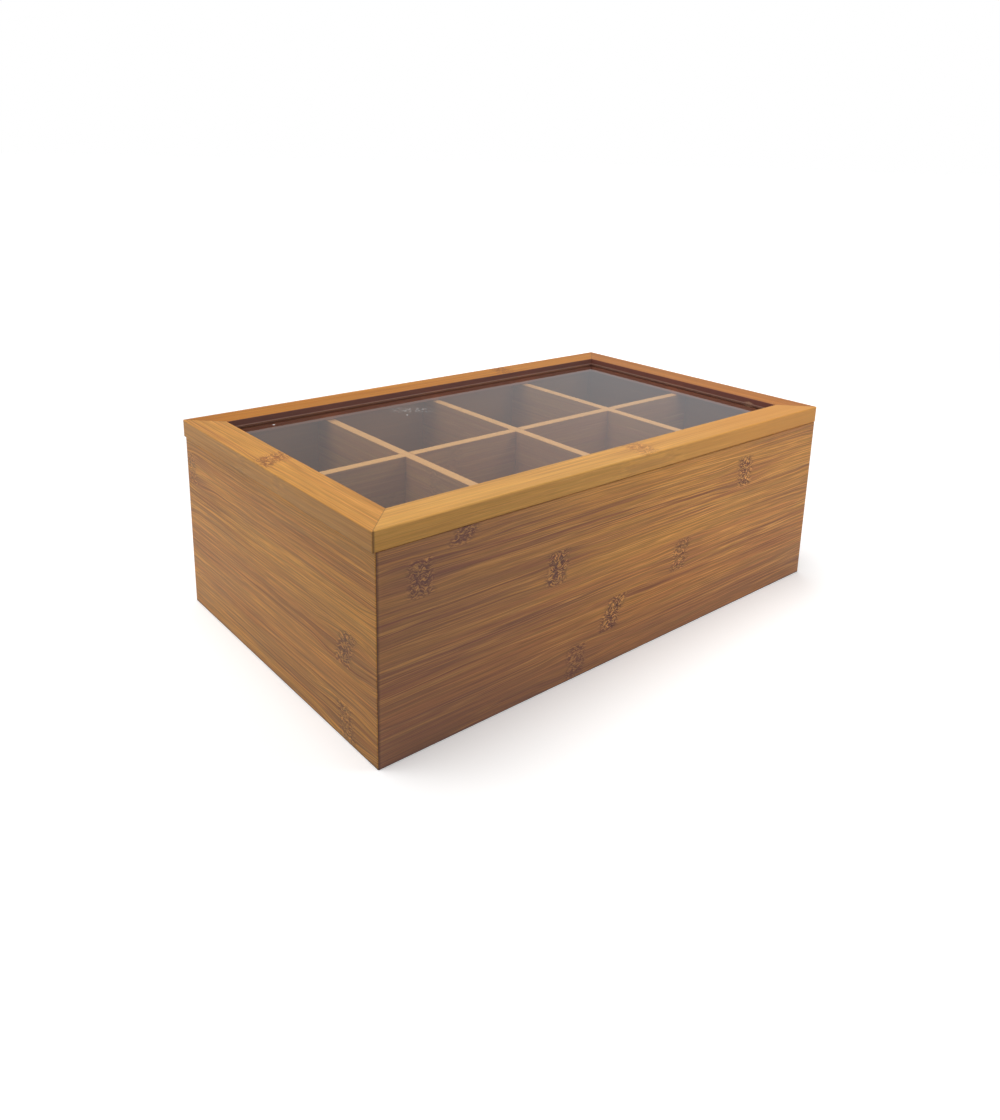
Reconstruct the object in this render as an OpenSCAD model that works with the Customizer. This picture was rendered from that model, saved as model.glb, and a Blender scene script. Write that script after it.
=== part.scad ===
// Bamboo tea bag box with eight compartments and a hinged lid with a clear window.
// All sizes are millimetres. +X runs to the right, +Y to the back and +Z up.
// The origin lies on the table, under the middle of the whole box, hinge barrels included.

/* [Body] */
// Width of the box body, left to right
body_w = 330; // [240:1:420]
// Depth of the box body, front to back
body_d = 202; // [150:1:260]
// Height of the four walls
body_h = 104; // [70:1:140]
// Thickness of the four walls
wall_t = 7; // [5.8:0.1:10]
// Rounding of the upright outer corners
corner_r = 0.9; // [0.2:0.1:2]
// Rounding of the long outer edges
edge_r = 0.5; // [0.1:0.1:0.8]

/* [Bottom panel] */
// Thickness of the bottom panel
bottom_t = 4; // [2.5:0.1:8]
// Height of the panel's underside above the table
bottom_up = 4; // [2:0.1:10]
// Depth of the groove in the walls that holds the panel
bottom_groove = 3; // [1.5:0.1:4]

/* [Dividers] */
// Thickness of the dividers
divider_t = 5.5; // [3:0.1:9]
// How far the dividers' tops lie below the walls' tops
divider_drop = 0.5; // [0.2:0.1:10]
// Depth of the slots in the walls that hold the dividers' ends
divider_groove = 2; // [1:0.1:3]

/* [Lid] */
// Thickness of the lid frame
lid_t = 10; // [8.3:0.1:16]
// Width of the lid frame's four sides, seen from above
lid_frame_w = 18.5; // [15:0.1:30]
// How far the lid stands out past the body at the left and right ends
lid_over = 1.2; // [0:0.1:3]
// How far the lid stands back from the body's front and back faces
lid_inset = 0.4; // [0:0.1:1]

/* [Window] */
// Thickness of the clear pane
window_t = 2; // [1.5:0.1:2.4]
// Depth of the pane's upper face below the top of the lid
window_drop = 4.2; // [2.5:0.1:4.5]
// Depth of the groove in the lid frame that holds the pane
window_groove = 5; // [3:0.1:6]

/* [Hinges] */
// Length of one hinge along its pin
hinge_l = 25; // [20:0.5:40]
// Distance from each end of the body to the middle of its hinge
hinge_in = 60; // [30:1:80]
// Thickness of the hinge leaves
leaf_t = 1.2; // [1:0.1:1.6]
// Wood left between a leaf and the wall's inner face
leaf_shy = 1; // [0.6:0.1:1.4]
// Outer radius of the knuckles
knuckle_r = 2.1; // [1.9:0.05:3]
// Radius of the hinge pins
pin_r = 1; // [0.7:0.05:1.2]
// Length of the heel that stops the open lid against the back wall
heel_l = 3.5; // [2.5:0.1:6]
// Angle at which the heel stops the lid
lid_stop = 100; // [92:1:115]

/* [Screws] */
// Radius of the screw shanks
screw_r = 0.9; // [0.7:0.05:1]
// Radius of the screw heads
screw_head_r = 1.75; // [1.5:0.05:1.9]
// Length of the screws
screw_l = 7.5; // [5:0.1:7.5]

/* [Fit] */
// Clearance on each side of a wooden piece in its groove
slip = 0.1; // [0.05:0.05:0.3]
// Gap between a piece's end and the bottom of its groove
end_gap = 0.3; // [0.1:0.1:0.5]
// Clearance round the pins and the screws
run = 0.05; // [0.02:0.01:0.1]
// Gap between a knuckle and what it turns past
knuckle_gap = 0.3; // [0.2:0.05:0.5]

/* [Hidden] */
$fn = 48;

// Colours
wall_col = [0.66, 0.49, 0.29];
end_col = [0.70, 0.52, 0.30];
bottom_col = [0.74, 0.58, 0.37];
divider_col = [0.82, 0.65, 0.45];
rail_col = [0.84, 0.64, 0.38];
stile_col = [0.78, 0.57, 0.32];
window_col = [0.75, 0.80, 0.82, 0.35];
brass_col = [0.80, 0.65, 0.35];

// A cut runs this far past what it cuts
past = 1;

// Hinge places, measured from the body's back face and from the seam under the lid
pin_off = knuckle_r + knuckle_gap;
leaf_in = wall_t - leaf_shy;
leaf_sink = 0.1;
knuckle_l = (hinge_l - 2 * knuckle_gap) / 3;
screw_x = hinge_l / 2 - 5;
screw_in = leaf_in / 2;
pin_head_l = 0.5;
pin_head_r = (pin_r + knuckle_r) / 2;

// The heel's size, and how far back it reaches while the lid is closed
heel_t = 1;
heel_gap = 0.1;
heel_off = pin_off - heel_gap;
heel_reach = heel_l * sin(lid_stop) - heel_off * cos(lid_stop);
rear_out = pin_off + heel_reach;

// Planes of the body and of the space inside it
back_y = (body_d - rear_out) / 2;
mid_y = back_y - body_d / 2;
inner_w = body_w - 2 * wall_t;
inner_d = body_d - 2 * wall_t;
floor_z = bottom_up + bottom_t;
divider_h = body_h - divider_drop - floor_z;
cross_step = (inner_w + divider_t) / 4;
hinge_x = body_w / 2 - hinge_in;
pin_y = back_y + pin_off;

// Size of the lid, and the height of its pane above the lid's underside
lid_w = body_w + 2 * lid_over;
lid_d = body_d - 2 * lid_inset;
window_z = lid_t - window_drop - window_t;
window_w = lid_w - 2 * (lid_frame_w - window_groove + end_gap);
window_d = lid_d - 2 * (lid_frame_w - window_groove + end_gap);

// Bits cut off the corners of an outline to round them, with the corner at the origin
module corner_bit(r) {
    difference() {
        translate([-past, -past]) square(r + past);
        translate([r, r]) circle(r);
    }
}

// A rectangle with its lower left corner at the origin and its corners rounded in turn:
// lower left, lower right, upper right and upper left
module eased_rect(w, h, r) {
    difference() {
        square([w, h]);
        corner_bit(r[0]);
        translate([w, 0]) mirror([1, 0]) corner_bit(r[1]);
        translate([w, h]) rotate(180) corner_bit(r[2]);
        translate([0, h]) mirror([0, 1]) corner_bit(r[3]);
    }
}

// Outline of a mitred side from above: outer edge along X, and the frame's middle towards +Y
module mitred_outline(length, w) {
    half = length / 2;
    difference() {
        polygon([[-half, 0], [half, 0], [half - w, w], [w - half, w]]);
        translate([-half, 0]) corner_bit(corner_r);
        translate([half, 0]) mirror([1, 0]) corner_bit(corner_r);
    }
}

// A side whose section is the child outline, drawn with X inwards and Y upwards
module mitred_side(length, w, h) {
    intersection() {
        translate([-length / 2, 0, 0]) rotate([90, 0, 90]) linear_extrude(length) children();
        linear_extrude(h) mitred_outline(length, w);
    }
}

// Turns a side that is drawn at the front to one of the four sides of a frame w by d
module at_side(turn, w, d) {
    across = turn % 180 == 0 ? d : w;
    translate([0, mid_y, 0]) rotate(turn) translate([0, -across / 2, 0]) children();
}

// Wall: groove for the bottom panel, and slots for the dividers' ends at the given places
module wall(length, slots) {
    slot_w = divider_t + 2 * slip;
    difference() {
        mitred_side(length, wall_t, body_h) difference() {
            eased_rect(wall_t, body_h, [edge_r, edge_r, edge_r, edge_r]);
            translate([wall_t - bottom_groove, bottom_up])
                square([bottom_groove + past, bottom_t + slip]);
        }
        for (x = slots)
            translate([x - slot_w / 2, wall_t - divider_groove, floor_z])
                cube([slot_w, divider_groove + past, body_h]);
    }
}

// Places that repeat
module each_hinge() {
    for (side = [-1, 1]) translate([side * hinge_x, 0, 0]) children();
}

module each_screw() {
    for (side = [-1, 1]) translate([side * screw_x, 0, 0]) children();
}

// Seat of one leaf and its two screws, drawn with the leaf's face at z = 0 and wood below.
// Y is 0 at the body's back face.
module leaf_seat() {
    translate([-hinge_l / 2 - slip, -leaf_in - slip, -leaf_t])
        cube([hinge_l + 2 * slip, leaf_in + slip + past, leaf_t + past]);
    each_screw() translate([0, -screw_in, -screw_l - run]) cylinder(h = screw_l, r = screw_r + run);
}

// Places a leaf or its seat: in the lid, turned over, or in the body
module at_leaf(in_lid) {
    translate([0, back_y, body_h + (in_lid ? leaf_sink : -leaf_sink)])
        mirror([0, 0, in_lid ? 1 : 0]) children();
}

module front_wall() {
    color(wall_col) at_side(0, body_w, body_d)
        wall(body_w, [-cross_step, 0, cross_step]);
}

module back_wall() {
    color(wall_col) difference() {
        at_side(180, body_w, body_d) wall(body_w, [-cross_step, 0, cross_step]);
        each_hinge() at_leaf(false) leaf_seat();
    }
}

module left_wall() {
    color(end_col) at_side(-90, body_w, body_d) wall(body_d, [0]);
}

module right_wall() {
    color(end_col) at_side(90, body_w, body_d) wall(body_d, [0]);
}

module bottom_panel() {
    reach = 2 * (bottom_groove - end_gap);
    color(bottom_col) translate([0, mid_y, floor_z - bottom_t / 2])
        cube([inner_w + reach, inner_d + reach, bottom_t], center = true);
}

// Upright board along X, with its upper edges eased
module divider_board(inner_l) {
    length = inner_l + 2 * (divider_groove - end_gap);
    translate([-length / 2, -divider_t / 2, floor_z]) rotate([90, 0, 90])
        linear_extrude(length) difference() {
            square([divider_t, divider_h]);
            translate([divider_t, divider_h]) rotate(180) corner_bit(edge_r);
            translate([0, divider_h]) mirror([0, 1]) corner_bit(edge_r);
        }
}

// Half-lap notch for the board that crosses, from mid-height up or down
module lap_notch(up) {
    notch_w = divider_t + 2 * slip;
    lap = divider_h / 2 + slip;
    z = up ? floor_z + divider_h - lap : floor_z - past;
    translate([-notch_w / 2, -notch_w / 2, z]) cube([notch_w, notch_w, lap + past]);
}

module long_divider() {
    color(divider_col) translate([0, mid_y, 0]) difference() {
        divider_board(inner_w);
        for (x = [-cross_step, 0, cross_step]) translate([x, 0, 0]) lap_notch(true);
    }
}

module cross_divider(x) {
    color(divider_col) translate([x, mid_y, 0]) rotate(90) difference() {
        divider_board(inner_d);
        lap_notch(false);
    }
}

// Lid side: groove for the pane, and the outer top edge eased the most
module lid_side(length) {
    translate([0, 0, body_h]) mitred_side(length, lid_frame_w, lid_t) difference() {
        eased_rect(lid_frame_w, lid_t, [edge_r, edge_r, edge_r, 1.6 * edge_r]);
        translate([lid_frame_w - window_groove, window_z])
            square([window_groove + past, window_t + slip]);
    }
}

module lid_rail_front() {
    color(rail_col) at_side(0, lid_w, lid_d) lid_side(lid_w);
}

module lid_rail_back() {
    color(rail_col) difference() {
        at_side(180, lid_w, lid_d) lid_side(lid_w);
        each_hinge() at_leaf(true) leaf_seat();
    }
}

module lid_stile(turn) {
    color(stile_col) at_side(turn, lid_w, lid_d) lid_side(lid_d);
}

module lid_window() {
    color(window_col) translate([0, mid_y, body_h + window_z + window_t / 2])
        cube([window_w, window_d, window_t], center = true);
}

// Countersunk holes of a leaf, seen as in leaf_seat
module leaf_holes() {
    sink = screw_head_r - screw_r;
    each_screw() translate([0, -screw_in, 0]) {
        translate([0, 0, -leaf_t - past]) cylinder(h = leaf_t + 2 * past, r = screw_r + run);
        translate([0, 0, -sink]) cylinder(h = sink, r1 = screw_r + run, r2 = screw_head_r + run);
    }
}

// Section of a knuckle round the pin's axis, with the tongue that joins it to its leaf.
// The lid's knuckle has a heel, which lies along the back wall once the lid has turned by lid_stop.
module knuckle_section(in_lid) {
    tongue = pin_off + leaf_in / 2;
    difference() {
        union() {
            circle(knuckle_r);
            translate([-tongue, in_lid ? leaf_sink : -leaf_sink - leaf_t]) square([tongue, leaf_t]);
            if (in_lid) rotate(lid_stop) translate([-heel_off, -heel_l]) square([heel_t, heel_l]);
        }
        circle(pin_r + run);
    }
}

// One leaf, with a knuckle at each place along its length
module leaf(side, in_lid, knuckles) {
    color(brass_col) translate([side * hinge_x, 0, 0]) difference() {
        union() {
            at_leaf(in_lid) translate([-hinge_l / 2, -leaf_in, -leaf_t])
                cube([hinge_l, leaf_in, leaf_t]);
            for (x = knuckles) translate([x, pin_y, body_h]) rotate([90, 0, 90])
                linear_extrude(knuckle_l) knuckle_section(in_lid);
        }
        at_leaf(in_lid) leaf_holes();
    }
}

// The body's leaf has the two outer knuckles, and the lid's leaf the middle one
module body_leaf(side) {
    leaf(side, false, [-hinge_l / 2, hinge_l / 2 - knuckle_l]);
}

module lid_leaf(side) {
    leaf(side, true, [-knuckle_l / 2]);
}

// Pin with a low riveted head at each end
module hinge_pin(side) {
    color(brass_col) translate([side * hinge_x, pin_y, body_h]) rotate([0, 90, 0]) {
        cylinder(h = hinge_l, r = pin_r, center = true);
        for (end = [0, 1]) mirror([0, 0, end]) translate([0, 0, hinge_l / 2])
            cylinder(h = pin_head_l, r1 = pin_head_r, r2 = pin_r);
    }
}

// Countersunk screw with its head's face at z = 0, a crossed slot and a pointed end
module screw() {
    sink = screw_head_r - screw_r;
    point_l = 2;
    slot_l = 1.3 * screw_head_r;
    slot_w = 0.5;
    slot_d = 0.5;
    difference() {
        union() {
            translate([0, 0, -sink]) cylinder(h = sink, r1 = screw_r, r2 = screw_head_r);
            translate([0, 0, point_l - screw_l]) cylinder(h = screw_l - point_l, r = screw_r);
            translate([0, 0, -screw_l]) cylinder(h = point_l, r1 = 0.2, r2 = screw_r);
        }
        for (turn = [0, 90]) rotate(turn) cube([slot_l, slot_w, 2 * slot_d], center = true);
    }
}

module hinge_screws() {
    each_hinge() each_screw() translate([0, -screw_in, 0]) screw();
}

module hinge_body_screws() {
    color(brass_col) at_leaf(false) hinge_screws();
}

module hinge_lid_screws() {
    color(brass_col) at_leaf(true) hinge_screws();
}

front_wall();
back_wall();
left_wall();
right_wall();
bottom_panel();
long_divider();
cross_divider(-cross_step);  // cross_divider_left
cross_divider(0);  // cross_divider_centre
cross_divider(cross_step);  // cross_divider_right
lid_rail_front();
lid_rail_back();
lid_stile(-90);  // lid_stile_left
lid_stile(90);  // lid_stile_right
lid_window();
body_leaf(-1);  // hinge_left_body_leaf
lid_leaf(-1);  // hinge_left_lid_leaf
hinge_pin(-1);  // hinge_left_pin
body_leaf(1);  // hinge_right_body_leaf
lid_leaf(1);  // hinge_right_lid_leaf
hinge_pin(1);  // hinge_right_pin
hinge_body_screws();
hinge_lid_screws();
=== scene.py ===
# Bamboo tea bag box: materials, pane, hinges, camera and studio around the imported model.
import math

import bpy
from mathutils import Matrix, Vector


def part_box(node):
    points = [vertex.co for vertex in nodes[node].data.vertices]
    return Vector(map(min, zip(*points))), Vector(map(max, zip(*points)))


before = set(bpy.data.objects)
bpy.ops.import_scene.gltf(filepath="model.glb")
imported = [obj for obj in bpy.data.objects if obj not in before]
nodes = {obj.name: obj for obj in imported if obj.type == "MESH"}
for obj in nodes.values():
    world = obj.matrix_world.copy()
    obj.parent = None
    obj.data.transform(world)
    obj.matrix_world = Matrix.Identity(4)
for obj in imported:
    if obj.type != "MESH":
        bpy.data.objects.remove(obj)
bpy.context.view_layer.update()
mm = 0.001


# Sizes of the box that the materials follow, in millimetres

def lowEnd(node, axis):
    return getattr(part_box(node)[0], axis) / mm


def highEnd(node, axis):
    return getattr(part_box(node)[1], axis) / mm


frontY, backY = lowEnd("front_wall", "y"), highEnd("back_wall", "y")
midY = (frontY + backY) / 2
halfW, halfD = highEnd("right_wall", "x"), (backY - frontY) / 2
halfLidW = highEnd("lid_stile_right", "x")
halfLidD = (highEnd("lid_rail_back", "y") - lowEnd("lid_rail_front", "y")) / 2
seamZ, lidTop = lowEnd("lid_rail_front", "z"), highEnd("lid_rail_front", "z")
paneTop = highEnd("lid_window", "z")
wallDepth = highEnd("front_wall", "y") - lowEnd("front_wall", "y")
frameWidth = highEnd("lid_rail_front", "y") - lowEnd("lid_rail_front", "y")


# Shader helpers

class Value:
    # wraps an output socket, so that shader maths reads as plain sums
    def __init__(self, graph, socket):
        self.graph = graph
        self.socket = socket

    def __add__(self, other):
        return self.graph.maths("ADD", self, other)

    def __radd__(self, other):
        return self.graph.maths("ADD", other, self)

    def __sub__(self, other):
        return self.graph.maths("SUBTRACT", self, other)

    def __rsub__(self, other):
        return self.graph.maths("SUBTRACT", other, self)

    def __mul__(self, other):
        return self.graph.maths("MULTIPLY", self, other)

    def __rmul__(self, other):
        return self.graph.maths("MULTIPLY", other, self)

    def __truediv__(self, other):
        return self.graph.maths("DIVIDE", self, other)

    def __rtruediv__(self, other):
        return self.graph.maths("DIVIDE", other, self)

    def __abs__(self):
        return self.graph.maths("ABSOLUTE", self)

    def floor(self):
        return self.graph.maths("FLOOR", self)

    def most(self, other):
        return self.graph.maths("MAXIMUM", self, other)

    def least(self, other):
        return self.graph.maths("MINIMUM", self, other)

    def step(self, none, full):
        # 0 at none, 1 at full and smooth between them, whichever of the two is higher
        return self.graph.add("MapRange", {"interpolation_type": "SMOOTHSTEP"},
                              {"Value": self, "From Min": none, "From Max": full})


class Graph:
    # the node tree of a material or world, built up from expressions
    def __init__(self, holder):
        holder.use_nodes = True
        self.holder = holder
        self.tree = holder.node_tree
        self.tree.nodes.clear()

    def add(self, kind, settings=None, sockets=None, out=0):
        # one node: its settings first, then its sockets' values or links
        node = self.tree.nodes.new("ShaderNode" + kind)
        for key, setting in (settings or {}).items():
            if key == "stops":
                fillRamp(node.color_ramp, setting)
            else:
                setattr(node, key, setting)
        for key, value in (sockets or {}).items():
            if isinstance(value, Value):
                self.tree.links.new(value.socket, node.inputs[key])
            else:
                node.inputs[key].default_value = value
        return None if out is None else Value(self, node.outputs[out])

    def maths(self, operation, *values):
        return self.add("Math", {"operation": operation}, dict(enumerate(values)))

    def mix(self, amount, first, second, how="MIX"):
        # colours: first where amount is 0, second where it is 1
        return self.add("Mix", {"data_type": "RGBA", "blend_type": how},
                        {0: amount, 6: first, 7: second}, out=2)

    def vector(self, x, y, z):
        return self.add("CombineXYZ", None, {0: x, 1: y, 2: z})

    def noise(self, x, y, z, detail=2.0, roughness=0.5, out=0):
        return self.add("TexNoise", None, {"Vector": self.vector(x, y, z), "Scale": 1.0,
                                           "Detail": detail, "Roughness": roughness}, out)

    def luck(self, number, out=0):
        # the same for the same number, and unlike it for any other
        return self.add("TexWhiteNoise", {"noise_dimensions": "1D"}, {"W": number}, out)

    def parts(self, vector):
        return [self.add("SeparateXYZ", None, {0: vector}, out=i) for i in range(3)]

    def place(self):
        # the point being shaded, in millimetres from the middle of the body's base
        point = self.add("TexCoord", out="Object")
        x, y, z = self.parts(self.add("VectorMath", {"operation": "SCALE"}, {0: point, "Scale": 1 / mm}))
        return x, y - midY, z

    def finish(self, shader, output="OutputMaterial"):
        self.add(output, {}, {"Surface": shader}, out=None)
        return self.holder


def fillRamp(ramp, stops):
    # stops: how the ramp blends, then pairs of place and colour
    ramp.interpolation = stops[0]
    for i, (place, colour) in enumerate(stops[1:]):
        element = ramp.elements[i] if i < 2 else ramp.elements.new(place)
        element.position = place
        element.color = colour


def hue(red, green, blue):
    return (red, green, blue, 1)


def material(name):
    return Graph(bpy.data.materials.new(name))


# Bamboo: strips glued edge to edge, with the nodes of the cane, here called knots, along them

bambooLook = {
    "light": (0.72, 0.335, 0.078),
    "middle": (0.50, 0.220, 0.052),
    "reddish": (0.50, 0.180, 0.058),
    "glint": (0.84, 0.42, 0.110),
    "streak": (0.27, 0.098, 0.048),
    "knot": (0.105, 0.036, 0.024),
    "fleck": (0.90, 0.44, 0.12),
    "dark": (0.060, 0.026, 0.020),   # mitres and the left corners, and painted shade at the foot, under the lid and along the lid's seam
    "tint": (1, 1, 1),               # multiplies all the colours
    "stripWidth": 19.0,
    "firstEdge": 0.5,                # where one strip begins
    "internode": 235.0,              # from one knot of a strip to the next
    "knotHalf": 7.8,                 # half the length of a knot
    "knotSide": (7.0, 11.0),         # how far from the middle of its strip it fades out
    "knotSwell": 4.2,                # half lengths over which the fibres beside it bend
    "knotLuck": (-0.6, 0.5),         # luck under the second number makes it fainter
    "knotDepth": 0.92,
    "curl": 6.0,
    "bulge": 0.12,
    "wander": 2.2,
    "ripple": 0.6,
    "shift": 400.0,                  # how far apart along the cane two strips may come from
    "patches": 1.0,
    "redness": 0.55,
    "streaks": 0.78,
    "glints": 0.55,
    "lines": 0.55,
    "fineness": 1.0,                 # above 1 the fibres are narrower
    "grain": 0.62,
    "glue": 0.45,
    "mitreLine": (0.10, 0.50),       # where the dark line of a mitre starts to fade and ends
    "roughness": 0.50,
    "coat": 0.06,
    "coatRoughness": 0.30,
    "ior": 1.36,
    "relief": 0.05,
}
fibreNoise = {
    # scales along and across the fibres, shift, detail and roughness
    "band": (0.0050, 0.30, 40, 2.0, 0.55),
    "streak": (0.010, 1.05, 0, 3.0, 0.62),
    "fine": (0.026, 1.75, 9, 2.0, 0.70),
    "darkLine": (0.0045, 0.46, 21, 1.0, 0.50),
    "goldLine": (0.0045, 0.34, 63, 1.0, 0.50),
}
markLevels = {
    # noise levels between which a mark goes from faint to full or back
    "fibre": (0.36, 0.64),
    "busy": (0.34, 0.60),
    "marks": (0.498, 0.565),
    "glints": (0.37, 0.45),
    "reddish": (0.42, 0.66),
    "darkLine": (0.010, 0.060),
    "goldLine": (0.006, 0.034),
    "dashes": (0.485, 0.535),
    "flecks": (0.41, 0.46),
    "darkBeside": (0.50, 0.58),
    "lightBeside": (0.42, 0.50),
}
rampSpan = 1000   # a ramp's colours go from 0 to 1, so they hold a knot's place as a share of this


def knotStop(knot):
    # a knot is its place along the strip, or that with how it leans and how strong it is
    place, lean, strength = knot if isinstance(knot, tuple) else (knot, 0.15, 0.85)
    return hue(place / rampSpan + 0.5, lean / 2 + 0.5, strength)


def aroundPane(g, colour, rim, inward, along, z, wearAndHighlight):
    # a painted highlight along the lid's outer top edge
    paintedHighlight = (1 - inward.step(0.3, 0.9)) * z.step(lidTop - 0.8, lidTop - 0.2)
    colour = g.mix(paintedHighlight * rim["wearAndHighlight"], colour, wearAndHighlight)

    # on the wall of the opening, the bead that holds the pane and lighter wood from there down
    wall = inward.step(frameWidth - 0.3, frameWidth - 0.1)
    below = wall * (1 - z.step(paneTop - 0.3, paneTop + 0.1))
    bead = wall * (1 - z.step(paneTop + 0.5, paneTop + 0.9)) * (1 - below)
    colour = g.mix(below * rim["amount"], colour, rim["below"])
    colour = g.mix(bead * rim["amount"], colour, rim["bead"])
    if rim["drop"] is not None:
        # a drop of dried glue on the bead
        apart = abs(along - rim["drop"]) * 0.25 + abs(z - paneTop - 1.0)
        colour = g.mix((1 - apart.step(0.6, 1.2)) * wall * rim["amount"], colour, rim["glue"])
    return colour


def bamboo(name, run, cross, seed, knots, joint=None, bands=(), rim=None, oddRow=None, **changes):
    # run and cross are the axes along the fibres and over the strips; knots has one for each strip;
    # a band is an axis, where it starts, where it is full, how strong it gets and its colour
    look = {**bambooLook, **changes}

    def paint(key):
        return hue(*(level * tint for level, tint in zip(look[key], look["tint"])))

    g = material(name)
    place = dict(zip("xyz", g.place()))
    along, over = place[run], place[cross]
    depth = place[next(axis for axis in "xyz" if axis not in (run, cross))]

    # which strip, and where the point is across it
    width = look["stripWidth"]
    row = ((over - look["firstEdge"]) / width).floor()
    inRow = over - look["firstEdge"] - (row + 0.5) * width
    toneLuck, hueLuck, shiftLuck = g.parts(g.luck(row + seed * 7.31, out="Color"))

    # distance along the strip from its nearest knot
    stops = ["CONSTANT"] + [(i / len(knots), knotStop(knot)) for i, knot in enumerate(knots)]
    knotPlace, lean, strength = g.parts(g.add("ValToRGB", {"stops": stops}, {0: (row + 0.5) / len(knots)}))
    internode = look["internode"]
    if oddRow:
        # one strip was cut from a cane with its knots further apart
        isOdd = (0.5 - abs(row - oddRow[0])).step(0, 0.1)
        internode = internode + isOdd * (oddRow[1] - internode)
    ahead = along - (knotPlace - 0.5) * rampSpan
    whichKnot = (ahead / internode + 0.5).floor()
    drift = g.noise(over * 0.16, depth * 0.16, row * 5.1 + seed) - 0.5
    fromKnot = abs(ahead - whichKnot * internode - (lean * 2 - 1) * inRow + drift * 7)

    # inside it, and in the stretch beside it where the fibres swell
    knotHalf = look["knotHalf"]
    inside = (1 - fromKnot.step(knotHalf * 0.4, knotHalf * 1.2)) * (1 - abs(inRow).step(*look["knotSide"]))
    inside = inside * g.luck(whichKnot * 3.7 + row * 1.3 + seed * 5.1).step(*look["knotLuck"]) * strength
    if rim:
        # the lid's knots don't come down its edges
        inside = inside * place["z"].step(lidTop - 2, lidTop - 0.5)
    near = 1 - fromKnot.step(knotHalf, knotHalf * look["knotSwell"])
    beside = near * (1 - inside)

    # fibres wander slowly, swell round a knot and curl inside it
    curlOver, curlAlong = g.parts(g.noise(along * 0.24, over * 0.22, depth * 0.2 + seed * 3, out=1))[:2]
    wander = g.noise(along * 0.009, over * 0.06, seed + row * 3.7, detail=1.0) - 0.5
    ripple = g.noise(along * 0.045, over * 0.10, seed - row * 2.9, detail=1.0) - 0.5
    bent = over - inRow * near * look["bulge"] + wander * look["wander"]
    bent = bent + ripple * (1 + near) * look["ripple"] + (curlOver - 0.5) * inside * look["curl"]
    pulled = along + (curlAlong - 0.5) * inside * look["curl"] + shiftLuck * look["shift"] + seed * 173

    def fibres(key, fineness=1.0):
        length, across, shift, detail, roughness = fibreNoise[key]
        return g.noise(pulled * length + shift, bent * (across * fineness), depth * across, detail, roughness)

    # broad tone, dark streaks, bright glints and fine fibres
    tone = g.noise(along * 0.006 + seed, over * 0.05, depth * 0.05)
    busy = g.noise(along * 0.0045 + 7, over * 0.075, row * 2.3 + seed, detail=1.0).step(*markLevels["busy"])
    band = fibres("band")
    streak = fibres("streak", look["fineness"])
    fine = fibres("fine", look["fineness"])
    fibre = fine.step(*markLevels["fibre"])
    marks = (streak * 0.50 + band * 0.16 + fine * 0.34).step(*markLevels["marks"]) * (0.40 + busy * 0.60)
    glints = 1 - (fine * 0.6 + streak * 0.4).step(*markLevels["glints"])

    # long thin lines where slow noises cross one level
    darkLine = 1 - abs(fibres("darkLine") - 0.5).step(*markLevels["darkLine"])
    goldLine = 1 - abs(fibres("goldLine") - 0.48).step(*markLevels["goldLine"])

    patches = (tone - 0.5) * 1.5 + (toneLuck - 0.5) * 0.45 + (band - 0.5) * 1.3
    lightness = (patches * look["patches"] + 0.5).most(0.0).least(1.0)
    redder = (band * 0.7 + hueLuck * 0.3).step(*markLevels["reddish"])
    colour = g.mix(lightness, paint("middle"), paint("light"))
    colour = g.mix(redder * look["redness"], colour, paint("reddish"))
    colour = g.mix(glints * look["glints"], colour, paint("glint"))
    colour = g.mix(marks * look["streaks"], colour, paint("streak"))
    colour = g.mix(darkLine * busy * look["lines"], colour, paint("streak"))
    colour = g.mix(goldLine * look["lines"], colour, paint("glint"))

    # the knot: curly dark dashes with bright flecks between them, and uneven streaks beside it
    dash = g.noise(pulled * 0.46, bent * 1.35, depth * 0.8 + 5, roughness=0.65)
    dashes = dash.step(*markLevels["dashes"]) * inside
    flecks = (1 - dash.step(*markLevels["flecks"])) * inside
    darkBeside = beside * band.step(*markLevels["darkBeside"]) * 0.38
    lightBeside = beside * (1 - band.step(*markLevels["lightBeside"])) * 0.20
    colour = g.mix(darkBeside * look["knotDepth"], colour, paint("streak"))
    colour = g.mix(lightBeside, colour, paint("light"))
    colour = g.mix(inside * 0.40 * look["knotDepth"], colour, paint("streak"))
    colour = g.mix(flecks * 0.80 * look["knotDepth"], colour, paint("fleck"))
    colour = g.mix(dashes * look["knotDepth"], colour, paint("knot"))

    grain = 1 - look["grain"] / 2 + fibre * look["grain"]
    colour = g.mix(1.0, colour, g.vector(grain, grain, grain), "MULTIPLY")

    # glue between strips, the mitre where two ends meet, and the piece's bands of colour, some of them
    # painted shade
    toEdge = width / 2 - abs(inRow)
    colour = g.mix((1 - toEdge.step(0.05, 0.40)) * shiftLuck * look["glue"], colour, paint("streak"))
    if joint:
        inward = (place[joint["axis"]] - joint["outer"]) * joint["way"]
        gap = abs(joint["half"] - abs(along) - inward)
        colour = g.mix((1 - gap.step(*look["mitreLine"])) * joint["amount"], colour, paint("dark"))
    for axis, start, full, amount, key in bands:
        colour = g.mix(place[axis].step(start, full) * amount, colour, paint(key))
    if rim:
        colour = aroundPane(g, colour, rim, inward, along, place["z"], paint("fleck"))

    height = (fibre * 0.4 - marks * 0.4 - dashes * 0.9) * (look["relief"] * mm)
    bump = g.add("Bump", None, {"Strength": 0.6, "Distance": 1.0, "Height": height})
    roughness = look["roughness"] + (fine - 0.5) * 0.16 + marks * 0.08
    return g.finish(g.add("BsdfPrincipled", None, {
        "Base Color": colour, "Roughness": roughness, "Normal": bump, "IOR": look["ior"],
        "Coat Weight": look["coat"], "Coat Roughness": look["coatRoughness"]}))


def dress(node, skin):
    mesh = nodes[node].data
    mesh.materials.clear()
    mesh.materials.append(skin)


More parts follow.
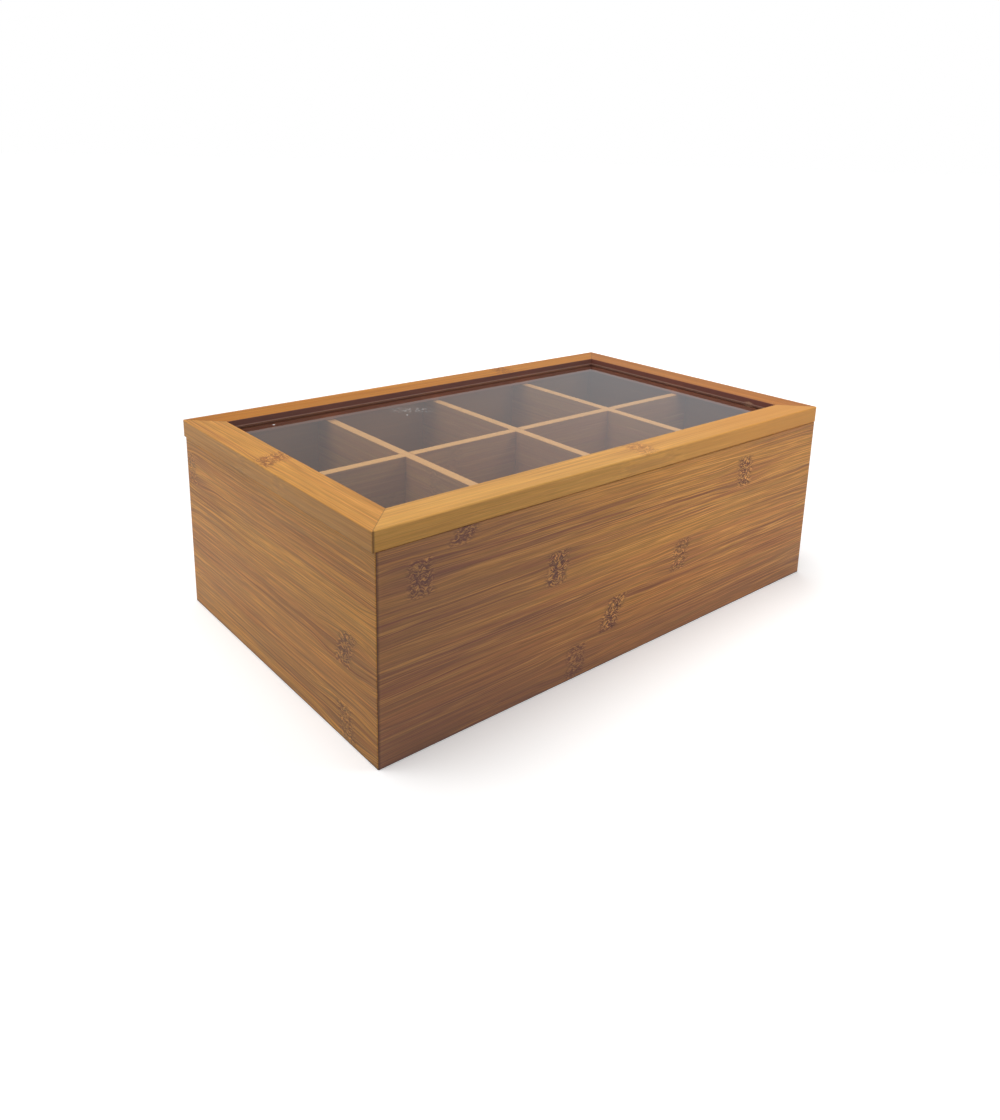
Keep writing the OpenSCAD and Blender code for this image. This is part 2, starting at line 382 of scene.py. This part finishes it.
def mitre(axis, outer, half, amount):
    # the axis through a piece, where its outer face is, half that face's length and how dark its ends meet
    return {"axis": axis, "outer": outer, "way": -1 if outer > 0 else 1, "half": half, "amount": amount}


def innerBand(joint, thickness, start, full, amount):
    # bare wood on the face that looks inwards
    inner = joint["outer"] + thickness * joint["way"]
    return joint["axis"], inner - start * joint["way"], inner - full * joint["way"], amount, "bare"


wallLook = {
    "bare": (0.44, 0.225, 0.105),
    # painted shade mixed with a duller wood tone
    "toneAndShade": (0.215, 0.115, 0.110),
}
offWall = 117.5   # a knot here falls past both ends of a side wall
shadeAtFoot = ("z", 1.5, 0.3, 0.7, "dark")   # painted shade along the foot, where the box meets the table
walls = {
    "front_wall": dict(
        run="x", seed=1, shadeUnderLid=0.3, oddRow=(5, 300.0), tint=(1.10, 1.09, 1.06),
        joint=mitre("y", -halfD, halfW, 0.6),
        knots=[(-43.6, 0.05, 0.8), (-17.0, 0.45, 1.0), (37.5, 0.15, 1.0), (-59.5, 0.10, 1.0),
               (-142.4, 0.0, 0.9), (-116.2, 0.5, 0.8)],
        # painted shade, with the wood's tone turning browner and duller, towards the left end and the foot;
        # and darker at the left corner
        bands=[("x", 30, -150, 0.42, "toneAndShade"), ("z", 34, 0, 0.30, "toneAndShade"),
               ("x", 1.8 - halfW, 0.3 - halfW, 0.6, "dark")]),
    "back_wall": dict(
        run="x", seed=2, shadeUnderLid=0.5,
        joint=mitre("y", halfD, halfW, 0.6),
        knots=[88.0, -120.0, 20.0, 131.0, -66.0, 49.0]),
    "left_wall": dict(
        run="y", seed=3, shadeUnderLid=0.12, tint=(0.89, 0.865, 0.62),
        joint=mitre("x", -halfW, halfD, 0.3),
        bulge=0.24, wander=1.0, patches=0.60, redness=0.40, fineness=1.25, grain=0.74, lines=0.34,
        knots=[(-74.3, 0.2, 0.5), offWall, (-74.9, -0.5, 1.0), offWall, (93.9, 0.2, 0.8), offWall]),
    "right_wall": dict(
        run="y", seed=4, shadeUnderLid=0.4,
        joint=mitre("x", halfW, halfD, 0.6),
        knots=[31.0, offWall, 64.0, -52.0, offWall, offWall]),
}
for node, wall in walls.items():
    bands = [innerBand(wall["joint"], wallDepth, 0.6, 0.3, 0.90),
             # painted shade along the wall's top under the lid's edge, and along its foot
             ("z", seamZ - 0.9, seamZ - 0.2, wall.pop("shadeUnderLid"), "dark"), shadeAtFoot]
    bands += wall.pop("bands", [])
    dress(node, bamboo("bamboo " + node, cross="z", bands=bands, **wallLook, **wall))

bottomKnots = [40, -90, 120, -20, 75, -140, 10, 100, -60, 55, -110]
dress("bottom_panel", bamboo("bamboo bottom", "x", "y", 5, bottomKnots, firstEdge=-104.5))

dividerLook = {
    "firstEdge": 8.5,
    "coat": 0.0,
    "roughness": 0.6,
    "streaks": 0.10,
    "lines": 0.06,
    "grain": 0.12,
    "patches": 0.45,
    "knotDepth": 0.12,
}
dividerTint = (1.05, 1.20, 1.80)
freshTop = (0.98, 0.46, 0.105)
dividers = {
    "long_divider": dict(run="x", seed=6, knots=[60.0, -100.0, 10.0, 140.0, -50.0]),
    "cross_divider_left": dict(run="y", seed=7, knots=[offWall, offWall, 80.0, offWall, -30.0], paler=1.12),
    "cross_divider_centre": dict(run="y", seed=8, knots=[-70.0, offWall, offWall, -15.0, offWall]),
    "cross_divider_right": dict(run="y", seed=9, knots=[offWall, 75.0, offWall, offWall, -80.0]),
}
for node, board in dividers.items():
    # a board may be paler than the others, but not on its freshly cut top
    topZ = highEnd(node, "z")
    paler = board.pop("paler", 1.0)
    tint = [level * paler for level in dividerTint]
    fresh = [level / paler for level in freshTop]
    dress(node, bamboo("bamboo " + node, cross="z", bands=[("z", topZ - 0.5, topZ - 0.2, 0.8, "fresh")],
                       tint=tint, fresh=fresh, **dividerLook, **board))

lidLook = {
    "streaks": 0.38,
    "lines": 0.25,
    "grain": 0.26,
    "glints": 0.25,
    "knotDepth": 0.75,
    "wander": 0.8,
    "patches": 0.45,
    "knot": (0.24, 0.070, 0.030),
    "fleck": (0.80, 0.37, 0.10),
    "bare": (0.105, 0.045, 0.040),
}
rimLook = {
    "amount": 0.8,
    "below": hue(0.60, 0.28, 0.18),   # under the pane
    "bead": hue(0.60, 0.36, 0.28),    # that holds the pane
    "glue": hue(0.62, 0.36, 0.24),
}
seamShade = ("z", seamZ + 0.6, seamZ + 0.2, 0.3, "dark")   # painted shade along the lid's lower edge, where it closes on the walls
lidSides = {
    "lid_rail_front": dict(
        run="x", cross="y", seed=11, knots=[8.5], firstEdge=-halfLidD - 0.2, wearAndHighlight=0.0,
        joint=mitre("y", -halfLidD, halfLidW, 0.38),
        tint=(1.24, 1.39, 1.40), amber=(0.56, 0.21, 0.042),
        # darker at the left corner, and redder wood towards the right end
        bands=[("x", 1.5 - halfLidW, 0.4 - halfLidW, 0.6, "dark"), ("x", -40, 140, 0.65, "amber")]),
    "lid_rail_back": dict(
        run="x", cross="y", seed=12, knots=[-170.0], firstEdge=halfLidD - 18.8, wearAndHighlight=0.1,
        joint=mitre("y", halfLidD, halfLidW, 0.38),
        tint=(1.00, 0.86, 0.32), bare=(0.185, 0.105, 0.290)),
    "lid_stile_left": dict(
        run="y", cross="x", seed=13, knots=[(7.0, 0.3, 1.0)], firstEdge=-halfLidW - 0.2, wearAndHighlight=0.4,
        joint=mitre("x", -halfLidW, halfLidD, 0.38),
        tint=(1.12, 1.15, 1.06), olive=(0.30, 0.15, 0.034), grain=0.44, patches=0.25, redness=0.30,
        # a greener outer side
        bands=[("x", 0.5 - halfLidW, 0.15 - halfLidW, 0.42, "olive")]),
    "lid_stile_right": dict(
        run="y", cross="x", seed=14, knots=[offWall], firstEdge=halfLidW - 18.8, wearAndHighlight=0.0, drop=-62.5,
        joint=mitre("x", halfLidW, halfLidD, 0.38),
        tint=(0.84, 0.66, 0.44), bare=(0.27, 0.135, 0.19)),
}
for node, side in lidSides.items():
    bands = [innerBand(side["joint"], frameWidth, 0.35, 0.1, 0.85), seamShade] + side.pop("bands", [])
    # how strong the painted highlight along this side's outer top edge is
    rim = {**rimLook, "wearAndHighlight": side.pop("wearAndHighlight"), "drop": side.pop("drop", None)}
    dress(node, bamboo("bamboo " + node, bands=bands, rim=rim, **{**lidLook, **side}))
print("bamboo done")


# Clear pane, with two specks of dust and one faint smear on top

paneLook = {
    "ior": 1.49,
    "clear": hue(0.985, 0.99, 0.985),
    "gloss": 0.02,
    "dust": hue(0.85, 0.83, 0.80),
    "specks": [(-123.0, 74.0, 0.9), (-48.5, 46.2, 0.7)],
    "smearPlace": (-40.0, 54.0),
    "smearTurn": 35.2,
    "smearLength": (8.0, 15.0),
    "smearWidth": (3.0, 7.0),
    "smearAmount": 0.20,
}


def clearPane():
    g = material("clear pane")
    fresnel = g.add("Fresnel", None, {"IOR": paneLook["ior"]})
    facing = 1 - g.add("NewGeometry", out="Backfacing")
    through = g.add("BsdfTransparent", None, {"Color": paneLook["clear"]})
    gloss = g.add("BsdfPrincipled", None, {
        "Base Color": hue(1, 1, 1), "Metallic": 1.0, "Roughness": paneLook["gloss"]})
    # the face that a ray meets from outside mirrors for both faces of the pane
    clear = g.add("MixShader", None, {0: 2 * fresnel / (1 + fresnel) * facing, 1: through, 2: gloss})

    x, y, z = g.place()
    specks = None
    for atX, atY, size in paneLook["specks"]:
        apart = abs(x - atX).most(abs(y - atY)) + g.noise(x * 1.7, y * 1.7, 0.0) * 0.5
        speck = 1 - apart.step(size * 0.7, size * 1.3)
        specks = speck if specks is None else specks.most(speck)
    fromX, fromY = x - paneLook["smearPlace"][0], y - paneLook["smearPlace"][1]
    turn = math.radians(paneLook["smearTurn"])
    lengthwise = fromX * math.cos(turn) - fromY * math.sin(turn)
    sideways = fromX * math.sin(turn) + fromY * math.cos(turn)
    smear = 1 - abs(lengthwise).step(*paneLook["smearLength"])
    smear = smear * (1 - abs(sideways).step(*paneLook["smearWidth"]))
    smear = smear * g.noise(x * 0.42, y * 0.42, 3.0, detail=3.0).step(0.48, 0.60)
    dusty = g.add("BsdfPrincipled", None, {"Base Color": paneLook["dust"], "Roughness": 0.9})
    amount = specks.most(smear * paneLook["smearAmount"]) * facing
    return g.finish(g.add("MixShader", None, {0: amount, 1: clear, 2: dusty}))


dress("lid_window", clearPane())


# Brass of the hinges and screws

brassLook = {
    "hinge": hue(0.80, 0.58, 0.26),
    "screw": hue(0.84, 0.64, 0.32),
    "wearAndHighlight": hue(0.55, 0.38, 0.15),
    "wear": 0.6,
    "roughness": (0.24, 0.16),   # the least, and what the brushing adds
    "relief": 0.02,
}


def brass(name, colour, seed):
    g = material(name)
    x, y, z = g.place()
    brushed = g.noise(x * 0.5 + seed, y * 9, z * 9, detail=3.0)
    wearAndHighlight = g.noise(x * 0.7, y * 0.7 + seed, z * 0.7, detail=3.0).step(0.35, 0.75) * brassLook["wear"]
    height = brushed * (brassLook["relief"] * mm)
    bump = g.add("Bump", None, {"Strength": 0.3, "Distance": 1.0, "Height": height})
    least, brushing = brassLook["roughness"]
    return g.finish(g.add("BsdfPrincipled", None, {
        "Base Color": g.mix(wearAndHighlight, colour, brassLook["wearAndHighlight"]), "Metallic": 1.0,
        "Roughness": least + brushed * brushing, "Normal": bump}))


hingeBrass = brass("brass", brassLook["hinge"], 1)
screwBrass = brass("screw brass", brassLook["screw"], 4)
for node in nodes:
    if node.startswith("hinge_"):
        dress(node, screwBrass if node.endswith("screws") else hingeBrass)
print("pane and brass done")


# Studio: pale floor and background, soft light

studio = {
    "floorSize": 60.0,
    "floorSeen": 0.985,     # the floor's grey where it is seen
    "floorLit": 0.30,       # and where it only throws light back
    "floorGlow": 0.17,
    "ambient": 0.30,
    "ceilingLeft": hue(0.345, 0.34, 0.335),
    "ceilingRight": hue(0.43, 0.435, 0.45),
    "ceilingWay": (0.76, -0.65),
    "ceilingBlend": (-1.4, 1.6),
    "ceilingFrom": 6.0,     # degrees above the level of its middle
    "ceilingMiddle": 0.11,
    "ceilingRadius": 8.0,
    "ceilingRings": 8,
    "ceilingSides": 48,
}
lamps = {
    "sun": dict(kind="SUN", power=1.8, angle=40.0,
                place=(-0.20, 0.15, 1.0), aim=(0, 0, 0)),
    "lamp right": dict(kind="AREA", power=0.26, size=0.16,
                       place=(0.13, -0.32, 0.22), aim=(0.08, -0.10, 0.07)),
    "lamp left": dict(kind="AREA", power=0.22, size=0.20,
                      place=(-0.42, 0.16, 0.15), aim=(-0.165, 0.05, 0.06)),
    "lamp behind": dict(kind="AREA", power=0.75, size=0.45,
                        place=(0.50, 0.45, 0.30), aim=(0.10, 0.05, 0.05)),
}


def seenDirectly(g):
    # 1 for rays from the camera, for mirrored rays and for rays that passed through something clear
    camera, glossy, passed = [g.add("LightPath", out="Is %s Ray" % kind)
                              for kind in ("Camera", "Glossy", "Transmission")]
    return camera.most(glossy).most(passed)


def link(name, data):
    thing = bpy.data.objects.new(name, data)
    bpy.context.scene.collection.objects.link(thing)
    return thing


def makeFloor():
    half = studio["floorSize"] / 2
    corners = [(-half, -half, 0), (half, -half, 0), (half, half, 0), (-half, half, 0)]
    mesh = bpy.data.meshes.new("floor")
    mesh.from_pydata(corners, [], [(0, 1, 2, 3)])
    g = material("floor")
    seen = seenDirectly(g)
    level = studio["floorLit"] + seen * (studio["floorSeen"] - studio["floorLit"])
    cloth = g.add("BsdfPrincipled", None, {
        "Base Color": g.vector(level, level, level), "Roughness": 1.0, "Specular IOR Level": 0.0,
        "Emission Color": g.vector(seen, seen, seen), "Emission Strength": studio["floorGlow"]})
    mesh.materials.append(g.finish(cloth))
    link("floor", mesh)


def makeCeiling():
    # grey cloth overhead, which only mirror-like surfaces see
    rings, sides, radius = studio["ceilingRings"], studio["ceilingSides"], studio["ceilingRadius"]
    lowest = math.radians(studio["ceilingFrom"])
    points, faces = [(0, 0, radius)], []
    for i in range(rings):
        up = lowest + (math.pi / 2 - lowest) * (rings - 1 - i) / rings
        for j in range(sides):
            turn = 2 * math.pi * j / sides
            points.append((radius * math.cos(up) * math.cos(turn), radius * math.cos(up) * math.sin(turn),
                           studio["ceilingMiddle"] + radius * math.sin(up)))
    for j in range(sides):
        faces.append((0, 1 + j, 1 + (j + 1) % sides))
        for i in range(rings - 1):
            a, b = 1 + i * sides + j, 1 + i * sides + (j + 1) % sides
            faces.append((a, a + sides, b + sides, b))
    mesh = bpy.data.meshes.new("ceiling")
    mesh.from_pydata(points, [], faces)

    g = material("ceiling")
    x, y, z = g.parts(g.add("TexCoord", out="Object"))
    wayX, wayY = studio["ceilingWay"]
    brighter = (x * wayX + y * wayY).step(*studio["ceilingBlend"])
    colour = g.mix(brighter, studio["ceilingLeft"], studio["ceilingRight"])
    mesh.materials.append(g.finish(g.add("Emission", None, {"Color": colour, "Strength": 1.0})))
    ceiling = link("ceiling", mesh)
    for kind in ("camera", "diffuse", "transmission", "shadow", "volume_scatter"):
        setattr(ceiling, "visible_" + kind, False)


def makeWorld():
    world = bpy.data.worlds.new("studio")
    bpy.context.scene.world = world
    g = Graph(world)
    strength = studio["ambient"] + seenDirectly(g) * (1 - studio["ambient"])
    g.finish(g.add("Background", None, {"Strength": strength, "Color": hue(1, 1, 1)}), "OutputWorld")


def makeLamp(name, lamp):
    data = bpy.data.lights.new(name, lamp["kind"])
    data.energy = lamp["power"]
    if lamp["kind"] == "SUN":
        data.angle = math.radians(lamp["angle"])
    else:
        data.shape = "DISK"
        data.size = lamp["size"]
    thing = link(name, data)
    thing.location = lamp["place"]
    thing.rotation_euler = (Vector(lamp["place"]) - Vector(lamp["aim"])).to_track_quat("Z", "Y").to_euler()
    thing.visible_camera = False
    thing.visible_glossy = False


makeFloor()
makeCeiling()
makeWorld()
for name, lamp in lamps.items():
    makeLamp(name, lamp)
print("studio done")


# Camera at the photograph's angle

shot = {
    "place": (-0.35212, -0.39811, 0.26412),   # from the middle of the body's base
    "turn": -40.352,
    "down": 14.627,
    "roll": 1.365,
    "focalPixels": 912.35,
    "axisRow": 393.97,   # image row that the lens axis meets
}
imageHeight = 1120   # the frame's longer side, which the lens and the shift go by


def makeCamera():
    turn, down, roll = (math.radians(shot[key]) for key in ("turn", "down", "roll"))
    back = Vector((math.sin(turn) * math.cos(down), -math.cos(turn) * math.cos(down), math.sin(down)))
    right = (-back).cross(Vector((0, 0, 1))).normalized()
    up = right.cross(-back)
    across = right * math.cos(roll) + up * math.sin(roll)
    upward = up * math.cos(roll) - right * math.sin(roll)
    data = bpy.data.cameras.new("camera")
    data.sensor_width = 36.0
    data.lens = shot["focalPixels"] * data.sensor_width / imageHeight
    data.shift_y = (shot["axisRow"] - imageHeight / 2) / imageHeight
    camera = link("camera", data)
    matrix = Matrix((across, upward, back)).transposed().to_4x4()
    matrix.translation = Vector(shot["place"]) + Vector((0, midY * mm, 0))
    camera.matrix_world = matrix
    bpy.context.scene.camera = camera


makeCamera()
bpy.context.scene.view_settings.view_transform = "Standard"
print("camera done")
